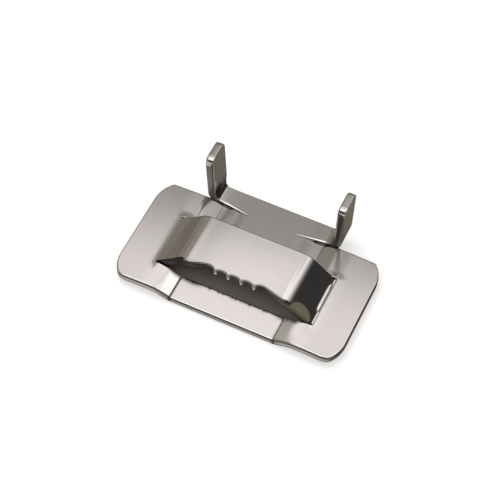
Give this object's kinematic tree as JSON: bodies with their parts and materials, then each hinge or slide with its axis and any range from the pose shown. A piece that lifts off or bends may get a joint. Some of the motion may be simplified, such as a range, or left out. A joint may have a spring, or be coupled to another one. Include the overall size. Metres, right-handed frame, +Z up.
{
  "type": "strapping buckle",
  "caption": "Stamped stainless buckle for steel strapping: a plate with a raised toothed bridge over the band path and upright ears that fold down over the band end.",
  "frame": {"origin": "under the middle of the buckle's box, on the surface that it rests on", "axes": "+X along the plate, +Y along the band from the toothed side to the ears, +Z up, the way the ears point"},
  "size_m": [0.0434, 0.0266, 0.0134],
  "materials": {
    "steel": "bright rolled stainless sheet with dark sheared edges"
  },
  "bodies": {
    "root": {"buckle": "steel"}
  },
  "joints": []
}
